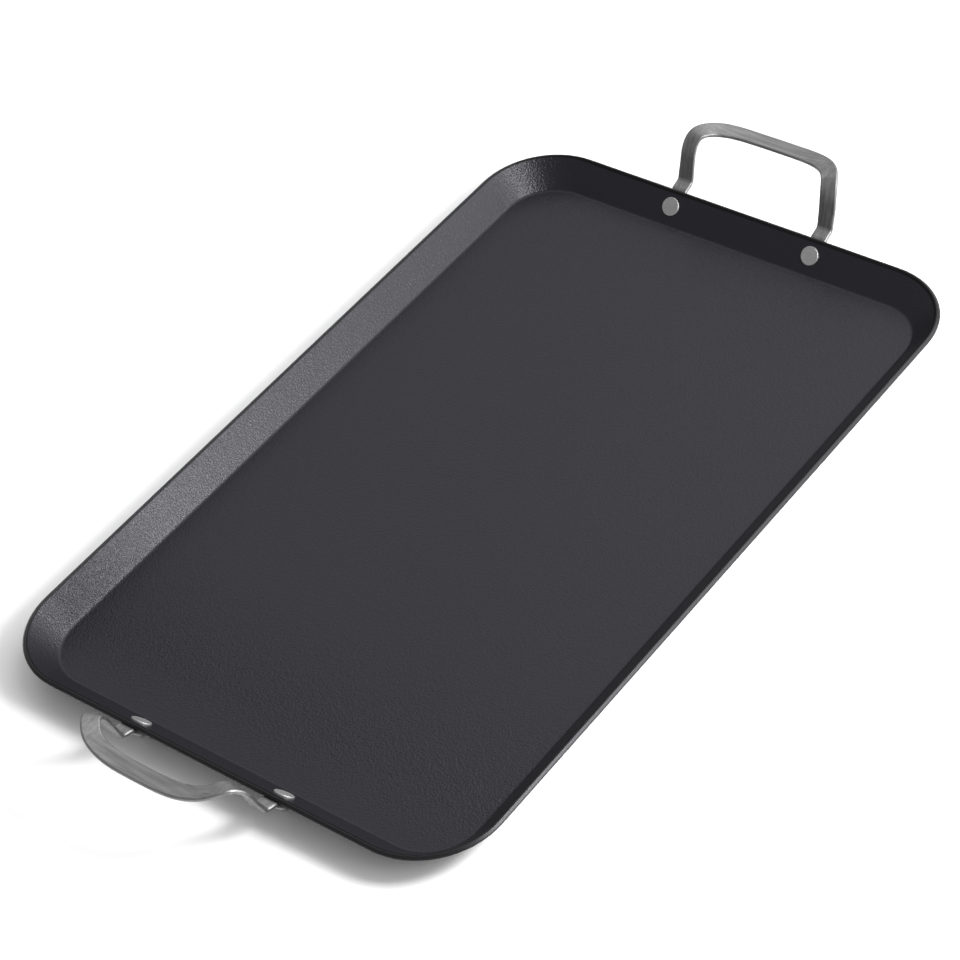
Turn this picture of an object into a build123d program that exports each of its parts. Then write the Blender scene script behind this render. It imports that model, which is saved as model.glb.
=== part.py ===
from build123d import *
import math
import os

os.makedirs("parts", exist_ok=True)

# Pan, measured on the coated inside face of the sheet
rim_length = 504.0
rim_width = 320.9
rim_corner_radius = 46.8
rim_height = 20.0
wall_run = 15.3
sheet_thickness = 2.8
coating_thickness = 0.2
floor_fillet = 2.5
rim_round = 0.8
flat_reach = 30.0

# Rivets
rivet_slant = 10.8
shank_radius = 2.9
hole_radius = 3.0
inner_head_radius = 5.9
inner_head_height = 1.1
inner_head_round = 0.5
outer_head_radius = 4.8
outer_head_height = 2.2
outer_head_round = 1.6

# Strap handles: each one sits a little to one side of the pan's long axis
strap_width = 10.8
strap_thickness = 2.6
strap_round = 1.1
foot_spacing = 102.0
handle_offset = 4.4
knee_out = 10.3
knee_drop = 0.3
shelf_angle = 18.0
leg_angle = 70.7
bend_radius = 4.2

# Stations up one leg: distance from the knee, then the twist of the strap in degrees
leg_stations = [(2.6, 0.0), (5.6, 1.2), (9.0, 3.6), (12.8, 6.2)]

# Stations along half of the loop: distance out past the rim, sideways and above the rim,
# then the direction in which the strap's flat face runs
loop_stations = [
    ((17.5, 50.55, 20.4), (0.159, 0.987, 0.031)),
    ((23.1, 48.4, 27.75), (0.409, 0.896, 0.176)),
    ((31.7, 41.0, 28.0), (0.794, 0.58, 0.182)),
    ((36.7, 29.6, 26.4), (0.973, 0.214, 0.081)),
    ((38.45, 14.1, 25.35), (0.999, 0.038, 0.005)),
]
loop_centre = ((38.6, 0.0, 25.3), (1.0, 0.0, 0.002))

total_thickness = sheet_thickness + coating_thickness
half_length = rim_length / 2
half_width = rim_width / 2
foot_line = half_length - wall_run
wall_angle = math.atan2(rim_height - total_thickness, wall_run)
slope = Vector(math.cos(wall_angle), 0, math.sin(wall_angle))
outward = Vector(slope.Z, 0, -slope.X)
miter = math.tan(wall_angle / 2)
rim_point = Vector(half_length, 0, rim_height)


def wall_point(depth, slant):
    """Point of the end wall, at a depth into the sheet and a slant distance below the rim."""
    return rim_point + outward * depth - slope * slant


def wall_band(near, far, top, lip):
    """Cross-section of floor edge and wall, between two depths into the sheet."""
    with BuildSketch(Plane.XZ) as section:
        with BuildLine():
            inner_top = wall_point(near, top)
            outer_top = wall_point(far, top)
            Polyline(
                (half_length - flat_reach, total_thickness - near),
                (foot_line + near * miter, total_thickness - near),
                (inner_top.X, inner_top.Z),
                (outer_top.X, outer_top.Z),
                (foot_line + far * miter, total_thickness - far),
                (half_length - flat_reach, total_thickness - far),
                close=True,
            )
        make_face()
        for depth in (near, far):
            bend = Vector(foot_line + depth * miter, total_thickness - depth)
            fillet(section.vertices().sort_by_distance(bend)[0], floor_fillet + depth)
        if lip > 0:
            for depth in (near, far):
                edge = wall_point(depth, top)
                nearest = section.vertices().sort_by_distance(Vector(edge.X, edge.Z))[0]
                fillet(nearest, lip)
    return section.sketch


def tray_layer(near, far, top, lip):
    """One layer of the pan: floor, walls and rim between two depths into the sheet."""
    with BuildPart() as layer:
        with BuildLine() as around:
            Polyline(
                (half_length, 0, rim_height),
                (half_length, half_width, rim_height),
                (-half_length, half_width, rim_height),
                (-half_length, -half_width, rim_height),
                (half_length, -half_width, rim_height),
                (half_length, 0, rim_height),
            )
            corners = around.vertices().filter_by(lambda v: abs(v.Y) > 1)
            fillet(corners, rim_corner_radius)
        sweep(sections=wall_band(near, far, top, lip), path=around.wires()[0])
        with BuildSketch(Plane.XY.offset(total_thickness - far)):
            RectangleRounded(
                rim_length - 2 * flat_reach,
                rim_width - 2 * flat_reach,
                rim_corner_radius - flat_reach,
            )
        extrude(amount=far - near)
        for seat in rivet_seats.values():
            with Locations(seat):
                Cylinder(hole_radius, 4 * total_thickness, mode=Mode.SUBTRACT)
    return layer.part


def rivet_seat(end, side):
    """Plane on the coated face of an end wall, at a rivet, with its normal through the wall."""
    spot = wall_point(0, rivet_slant)
    across = side * foot_spacing / 2 - end * handle_offset
    return Plane(
        origin=(end * spot.X, across, spot.Z),
        x_dir=(0, 1, 0),
        z_dir=(end * outward.X, 0, outward.Z),
    )


def rivet(seat):
    """Flat head inside the pan, shank through wall and strap, domed head outside."""
    grip = total_thickness + strap_thickness
    with BuildPart() as body:
        Cylinder(
            inner_head_radius,
            inner_head_height,
            align=(Align.CENTER, Align.CENTER, Align.MAX),
        )
        fillet(body.edges().group_by(Axis.Z)[0], inner_head_round)
        Cylinder(
            shank_radius,
            grip,
            align=(Align.CENTER, Align.CENTER, Align.MIN),
        )
        with Locations((0, 0, grip)):
            Cylinder(
                outer_head_radius,
                outer_head_height,
                align=(Align.CENTER, Align.CENTER, Align.MIN),
            )
        fillet(body.edges().group_by(Axis.Z)[-1], outer_head_round)
    return seat.location * body.part


def strap_foot():
    """Round tab on the wall, short shelf, knee and the start of one upright leg."""
    knee = rim_point + Vector(knee_out, 0, -knee_drop)
    shelf = Vector(math.cos(math.radians(shelf_angle)), 0, math.sin(math.radians(shelf_angle)))
    leg = Vector(math.cos(math.radians(leg_angle)), 0, math.sin(math.radians(leg_angle)))
    tab = wall_point(total_thickness + strap_thickness / 2, rivet_slant)
    gap = knee - tab
    along_tab = (gap.X * shelf.Z - gap.Z * shelf.X) / (slope.X * shelf.Z - slope.Z * shelf.X)
    tab_bend = tab + slope * along_tab
    leg_end = knee + leg * leg_stations[0][0]
    beside = foot_spacing / 2
    with BuildPart() as foot:
        with BuildLine() as spine:
            FilletPolyline(
                (tab.X, beside, tab.Z),
                (tab_bend.X, beside, tab_bend.Z),
                (knee.X, beside, knee.Z),
                (leg_end.X, beside, leg_end.Z),
                radius=bend_radius,
            )
        start = Plane(origin=spine.wires()[0] @ 0, x_dir=(0, 1, 0), z_dir=slope)
        with BuildSketch(start):
            RectangleRounded(strap_width, strap_thickness, strap_round)
        sweep(path=spine.wires()[0])
        with BuildPart(mode=Mode.PRIVATE) as pad:
            Cylinder(strap_width / 2, strap_thickness)
            fillet(pad.edges().filter_by(GeomType.CIRCLE), strap_round)
        face = Plane(origin=(tab.X, beside, tab.Z), x_dir=(0, 1, 0), z_dir=outward)
        add(face.location * pad.part)
        with Locations(face):
            Cylinder(hole_radius, 4 * strap_thickness, mode=Mode.SUBTRACT)
    return foot.part


def strap_grip():
    """Both legs and the hand grip, which bows out and dips a little in the middle."""
    knee = rim_point + Vector(knee_out, 0, -knee_drop)
    leg = Vector(math.cos(math.radians(leg_angle)), 0, math.sin(math.radians(leg_angle)))
    foot = knee + Vector(0, foot_spacing / 2, 0)
    stations = []
    for height, twist in leg_stations:
        across = Vector(0, 1, 0).rotate(Axis((0, 0, 0), leg), -twist)
        stations.append((foot + leg * height, across))
    for spot, across in loop_stations + [loop_centre]:
        stations.append((rim_point + Vector(*spot), Vector(*across).normalized()))
    with BuildPart() as grip:
        with BuildLine(mode=Mode.PRIVATE) as spine:
            Spline(*[s for s, a in stations], tangents=[leg, Vector(0, -1, 0)])
        frames = []
        for spot, across in stations:
            frames.append((spot, across, spine.edges()[0].tangent_at(spot)))
        for spot, across, along in reversed(frames[:-1]):
            flipped = Vector(-along.X, along.Y, -along.Z)
            beside = Vector(across.X, -across.Y, across.Z)
            frames.append((Vector(spot.X, -spot.Y, spot.Z), beside, flipped))
        for spot, across, along in frames:
            face = across - along * across.dot(along)
            with BuildSketch(Plane(origin=spot, x_dir=face, z_dir=along)):
                RectangleRounded(strap_width, strap_thickness, strap_round)
        loft()
    return grip.part


def strap_handle(turn):
    """One complete handle, turned about the vertical axis to its end of the pan."""
    with BuildPart() as handle:
        foot = strap_foot()
        add(strap_grip())
        add(foot)
        add(mirror(foot, about=Plane.XZ))
    shifted = Location((0, -handle_offset, 0)) * handle.part
    return Location((0, 0, 0), (0, 0, turn)) * shifted


rivet_seats = {
    "rivet_rear_left": rivet_seat(1, 1),
    "rivet_rear_right": rivet_seat(1, -1),
    "rivet_front_left": rivet_seat(-1, 1),
    "rivet_front_right": rivet_seat(-1, -1),
}

with BuildPart() as pan_body:
    add(tray_layer(coating_thickness, total_thickness, 0, rim_round))
pan_body.part.label = "pan_body"
export_step(pan_body.part, "parts/pan_body.step")

with BuildPart() as nonstick_coating:
    add(tray_layer(0, coating_thickness, rim_round, 0))
nonstick_coating.part.label = "nonstick_coating"
export_step(nonstick_coating.part, "parts/nonstick_coating.step")

with BuildPart() as handle_rear:
    add(strap_handle(0))
handle_rear.part.label = "handle_rear"
export_step(handle_rear.part, "parts/handle_rear.step")

with BuildPart() as handle_front:
    add(strap_handle(180))
handle_front.part.label = "handle_front"
export_step(handle_front.part, "parts/handle_front.step")

for name, seat in rivet_seats.items():
    with BuildPart() as rivet_body:
        add(rivet(seat))
    rivet_body.part.label = name
    export_step(rivet_body.part, f"parts/{name}.step")
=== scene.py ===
import math

import bpy
from mathutils import Matrix, Vector


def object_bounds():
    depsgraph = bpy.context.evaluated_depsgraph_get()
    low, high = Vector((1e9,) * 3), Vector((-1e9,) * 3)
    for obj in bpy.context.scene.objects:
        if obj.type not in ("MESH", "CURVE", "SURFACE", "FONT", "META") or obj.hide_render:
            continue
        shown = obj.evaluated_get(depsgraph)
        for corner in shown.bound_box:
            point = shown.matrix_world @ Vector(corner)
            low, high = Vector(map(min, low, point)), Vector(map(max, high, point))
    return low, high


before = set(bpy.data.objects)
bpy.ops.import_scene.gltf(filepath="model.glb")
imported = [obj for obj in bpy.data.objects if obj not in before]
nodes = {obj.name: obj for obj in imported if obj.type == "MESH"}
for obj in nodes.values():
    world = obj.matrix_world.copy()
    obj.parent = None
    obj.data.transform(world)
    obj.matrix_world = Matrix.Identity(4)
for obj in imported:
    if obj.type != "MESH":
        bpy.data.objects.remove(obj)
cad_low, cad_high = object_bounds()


# ---------------------------------------------------------------- node helpers
def feed(tree, socket, value):
    """Set a socket to a number, or link another node's output to it."""
    if isinstance(value, (int, float)):
        socket.default_value = value
    else:
        tree.links.new(value, socket)


def new_material(name):
    mat = bpy.data.materials.new(name)
    mat.use_nodes = True
    tree = mat.node_tree
    tree.nodes.clear()
    out = tree.nodes.new("ShaderNodeOutputMaterial")
    shader = tree.nodes.new("ShaderNodeBsdfPrincipled")
    tree.links.new(shader.outputs["BSDF"], out.inputs["Surface"])
    return mat, tree, shader


def coords(tree, scale=(1, 1, 1)):
    tex = tree.nodes.new("ShaderNodeTexCoord")
    mapping = tree.nodes.new("ShaderNodeMapping")
    mapping.inputs["Scale"].default_value = scale
    tree.links.new(tex.outputs["Object"], mapping.inputs["Vector"])
    return mapping.outputs["Vector"]


def axes(tree, vector):
    n = tree.nodes.new("ShaderNodeSeparateXYZ")
    tree.links.new(vector, n.inputs["Vector"])
    return n.outputs["X"], n.outputs["Y"], n.outputs["Z"]


def noise(tree, vector, scale, detail, rough):
    n = tree.nodes.new("ShaderNodeTexNoise")
    n.inputs["Scale"].default_value = scale
    n.inputs["Detail"].default_value = detail
    n.inputs["Roughness"].default_value = rough
    tree.links.new(vector, n.inputs["Vector"])
    return n.outputs["Fac"]


def spread(tree, value, low, high, to_low, to_high):
    n = tree.nodes.new("ShaderNodeMapRange")
    n.inputs["From Min"].default_value = low
    n.inputs["From Max"].default_value = high
    n.inputs["To Min"].default_value = to_low
    n.inputs["To Max"].default_value = to_high
    tree.links.new(value, n.inputs["Value"])
    return n.outputs["Result"]


def grain_spread(tree, value, to_low, to_high):
    """Stretch the middle of a noise, where nearly all of it lies, to a range."""
    return spread(tree, value, 0.3, 0.7, to_low, to_high)


def maths(tree, op, a, b):
    n = tree.nodes.new("ShaderNodeMath")
    n.operation = op
    feed(tree, n.inputs[0], a)
    feed(tree, n.inputs[1], b)
    return n.outputs["Value"]


def blend_colour(tree, fac, dark, light):
    n = tree.nodes.new("ShaderNodeMix")
    n.data_type = "RGBA"
    n.inputs["A"].default_value = (*dark, 1)
    n.inputs["B"].default_value = (*light, 1)
    tree.links.new(fac, n.inputs["Factor"])
    return n.outputs["Result"]


def bump(tree, height, strength, distance, normal=None):
    n = tree.nodes.new("ShaderNodeBump")
    n.inputs["Distance"].default_value = distance
    feed(tree, n.inputs["Strength"], strength)
    tree.links.new(height, n.inputs["Height"])
    if normal is not None:
        tree.links.new(normal, n.inputs["Normal"])
    return n.outputs["Normal"]


# ---------------------------------------------------------------- materials
# Bump distances, in metres
peel_depth = 0.0006
fine_depth = 0.00006
painted_shade_depth = 0.00008
steel_depth = 0.00005

# Heights above the underside, in metres: where the wall leaves the floor, where it is clear of
# the bend, and where the painted shade band under the rim fades in
wall_foot = 0.0034
wall_clear = 0.0060
painted_shade_start = 0.0178
painted_shade_full = 0.0184

# Places along the pan, in metres: the front wall, and the front part of the floor
front_wall_middle = -0.232
front_wall_foot = -0.200
front_part = -0.19
rest_of_pan = -0.12

# Places across the pan, in metres, between which the painted shade band narrows on the +Y side,
# where the rim edge is better lit
painted_shade_narrowing_start = 0.10
painted_shade_narrowing_end = 0.14
painted_shade_narrowing = 0.0007

# Distances from the middle of a handle, in metres, where its grip ends and its legs begin
grip_end = 0.034
leg_edge = 0.048


def coating_material():
    """Non-stick layer: orange peel over the whole tray, and a thin matt dark band of painted shade
    at the inner rim edge.
    """
    mat, tree, shader = new_material("nonstick")
    place = coords(tree)
    x, y, z = axes(tree, place)
    peel = noise(tree, place, scale=760, detail=2, rough=0.6)
    fine = noise(tree, place, scale=2600, detail=2, rough=0.5)
    cloud = noise(tree, place, scale=9, detail=3, rough=0.5)
    dark, light = (0.0034, 0.0032, 0.0058), (0.0048, 0.0045, 0.0076)
    tree.links.new(blend_colour(tree, cloud, dark, light), shader.inputs["Base Color"])
    tree.links.new(grain_spread(tree, fine, 0.31, 0.37), shader.inputs["Roughness"])
    shader.inputs["Specular IOR Level"].default_value = 0.38
    shader.inputs["Specular Tint"].default_value = (0.96, 0.945, 1.0, 1)

    # The peel is deeper on the walls and in the front part of the pan, and shallow on the front wall
    by_height = spread(tree, z, wall_foot, wall_clear, 0.80, 1.0)
    by_length = spread(tree, x, front_part, rest_of_pan, 1.25, 0.6)
    by_front_wall = spread(tree, x, front_wall_middle, front_wall_foot, 0.4, 1.0)
    strength = maths(tree, "MULTIPLY", by_height, by_length)
    strength = maths(tree, "MULTIPLY", strength, by_front_wall)
    peeled = bump(tree, peel, strength, peel_depth)
    tree.links.new(bump(tree, fine, 0.35, fine_depth, peeled), shader.inputs["Normal"])

    # Painted shade: a darker, duller coating band along the inner rim edge stands in for the shade
    # and the dark reflection there
    painted_shade = tree.nodes.new("ShaderNodeBsdfPrincipled")
    dark, light = (0.0030, 0.0030, 0.0036), (0.0045, 0.0044, 0.0050)
    tree.links.new(blend_colour(tree, cloud, dark, light), painted_shade.inputs["Base Color"])
    painted_shade.inputs["Roughness"].default_value = 0.6
    painted_shade.inputs["Specular IOR Level"].default_value = 0.12
    tree.links.new(bump(tree, fine, 0.5, painted_shade_depth), painted_shade.inputs["Normal"])

    # The painted shade band starts higher on the +Y side, where the rim edge catches more light
    lowered = spread(tree, y, painted_shade_narrowing_start, painted_shade_narrowing_end, 0.0, painted_shade_narrowing)
    level = maths(tree, "SUBTRACT", z, lowered)
    join = tree.nodes.new("ShaderNodeMixShader")
    tree.links.new(spread(tree, level, painted_shade_start, painted_shade_full, 0.0, 1.0), join.inputs["Fac"])
    tree.links.new(shader.outputs["BSDF"], join.inputs[1])
    tree.links.new(painted_shade.outputs["BSDF"], join.inputs[2])
    out = tree.nodes["Material Output"]
    tree.links.new(join.outputs["Shader"], out.inputs["Surface"])
    return mat


def metal_material(name, metallic, make_colour, make_grain, roughness, strength, depth):
    """Metal whose grain sets both its roughness and its fine bump."""
    mat, tree, shader = new_material(name)
    tree.links.new(make_colour(tree), shader.inputs["Base Color"])
    shader.inputs["Metallic"].default_value = metallic
    grain = make_grain(tree)
    tree.links.new(grain_spread(tree, grain, *roughness), shader.inputs["Roughness"])
    tree.links.new(bump(tree, grain, strength, depth), shader.inputs["Normal"])
    return mat


def anodised_material():
    """Hard-anodised sheet: satin charcoal with very fine grain."""

    def colour(tree):
        cloud = noise(tree, coords(tree), scale=14, detail=3, rough=0.5)
        return blend_colour(tree, cloud, dark=(0.021, 0.021, 0.023), light=(0.029, 0.029, 0.031))

    def grain(tree):
        return noise(tree, coords(tree), scale=1800, detail=3, rough=0.6)

    return metal_material("anodised", 0.8, colour, grain,
                          roughness=(0.32, 0.42), strength=0.25, depth=fine_depth)


def strap_steel_material():
    """Satin stainless steel, brushed along the strap: along Y on the grip, up Z on the legs."""

    def strokes(tree, scale, detail):
        distance = maths(tree, "ABSOLUTE", axes(tree, coords(tree))[1], 0.0)
        on_leg = spread(tree, distance, grip_end, leg_edge, 0.0, 1.0)
        n = tree.nodes.new("ShaderNodeMix")
        tree.links.new(on_leg, n.inputs["Factor"])
        for socket, stretch in (("A", (1.0, 0.05, 1.0)), ("B", (0.3, 1.0, 0.06))):
            drawn = noise(tree, coords(tree, stretch), scale, detail, rough=0.65)
            tree.links.new(drawn, n.inputs[socket])
        return n.outputs["Result"]

    def colour(tree):
        broad = grain_spread(tree, strokes(tree, scale=520, detail=2), 0.0, 1.0)
        return blend_colour(tree, broad, dark=(0.170, 0.170, 0.172), light=(0.290, 0.290, 0.290))

    def grain(tree):
        return strokes(tree, scale=2400, detail=3)

    return metal_material("strap_steel", 1.0, colour, grain,
                          roughness=(0.38, 0.52), strength=0.4, depth=steel_depth)


def rivet_steel_material():
    """Softly blasted stainless rivet, a little brighter than the straps."""

    def colour(tree):
        smudge = noise(tree, coords(tree), scale=220, detail=3, rough=0.5)
        return blend_colour(tree, smudge, dark=(0.33, 0.33, 0.333), light=(0.45, 0.45, 0.448))

    def grain(tree):
        return noise(tree, coords(tree), scale=1900, detail=3, rough=0.6)

    return metal_material("rivet_steel", 1.0, colour, grain,
                          roughness=(0.48, 0.60), strength=0.4, depth=steel_depth)


finishes = {
    "nonstick_coating": coating_material(),
    "pan_body": anodised_material(),
    "handle": strap_steel_material(),
    "rivet": rivet_steel_material(),
}
for name, obj in nodes.items():
    finish = finishes.get(name) or finishes[name.split("_")[0]]
    obj.data.materials.clear()
    obj.data.materials.append(finish)


# ---------------------------------------------------------------- floor and light
def floor_material():
    """Plain pale studio floor, slightly satin."""
    mat, tree, shader = new_material("studio_floor")
    cloud = noise(tree, coords(tree), scale=3, detail=2, rough=0.5)
    colour = blend_colour(tree, cloud, dark=(0.94, 0.94, 0.94), light=(0.955, 0.955, 0.955))
    tree.links.new(colour, shader.inputs["Base Color"])
    shader.inputs["Roughness"].default_value = 0.35
    shader.inputs["Specular IOR Level"].default_value = 0.3
    return mat


floor_gap = 0.0002
floor_z = cad_low.z - floor_gap
span = 6.0
corners = [(sx * span, sy * span, floor_z) for sx, sy in ((-1, -1), (1, -1), (1, 1), (-1, 1))]
floor_mesh = bpy.data.meshes.new("floor")
floor_mesh.from_pydata(corners, [], [(0, 1, 2, 3)])
floor_mesh.materials.append(floor_material())
floor = bpy.data.objects.new("floor", floor_mesh)
bpy.context.collection.objects.link(floor)


def softbox(name, location, target, size, power):
    """Rectangular area light that the camera doesn't see."""
    data = bpy.data.lights.new(name, "AREA")
    data.shape = "RECTANGLE"
    data.size, data.size_y = size
    data.energy = power
    obj = bpy.data.objects.new(name, data)
    bpy.context.collection.objects.link(obj)
    obj.location = location
    obj.visible_camera = False
    aim = Vector(target) - Vector(location)
    obj.rotation_euler = aim.to_track_quat("-Z", "Y").to_euler()


pan_middle = (0, 0, 0.02)
front_left_of_floor = (-0.19, 0.15, 0.02)
softbox("key", (0.96, -1.47, 0.83), pan_middle, size=(2.5, 1.7), power=41.5)
softbox("strip", (0.09, -0.57, 0.54), front_left_of_floor, size=(0.22, 0.22), power=6.3)
softbox("side", (1.73, 0.0, 1.0), pan_middle, size=(1.6, 1.2), power=5)
softbox("overhead", (1.1, -0.5, 1.8), pan_middle, size=(1.8, 1.8), power=16)
softbox("ceiling", (0.90, 1.10, 1.41), pan_middle, size=(1.6, 1.6), power=5)

world = bpy.data.worlds.new("studio")
world.use_nodes = True
background = world.node_tree.nodes["Background"]
background.inputs["Color"].default_value = (1, 1, 1, 1)
background.inputs["Strength"].default_value = 0.46
bpy.context.scene.world = world

# ---------------------------------------------------------------- camera
cam_from = Vector((-0.92018, -0.92502, 1.24077))
cam_to = Vector((-0.012095, -0.000975, 0.020))
cam_roll = math.radians(-11.8193)

cam_data = bpy.data.cameras.new("camera")
cam_data.sensor_width = 36.0
cam_data.lens = 117.985
cam_data.clip_end = 30
camera = bpy.data.objects.new("camera", cam_data)
bpy.context.collection.objects.link(camera)
aimed = (cam_to - cam_from).to_track_quat("-Z", "Y").to_matrix()
camera.rotation_mode = "QUATERNION"
camera.rotation_quaternion = (aimed @ Matrix.Rotation(cam_roll, 3, "Z")).to_quaternion()
camera.location = cam_from
bpy.context.scene.camera = camera
bpy.context.scene.view_settings.view_transform = "Standard"

bpy.context.view_layer.update()
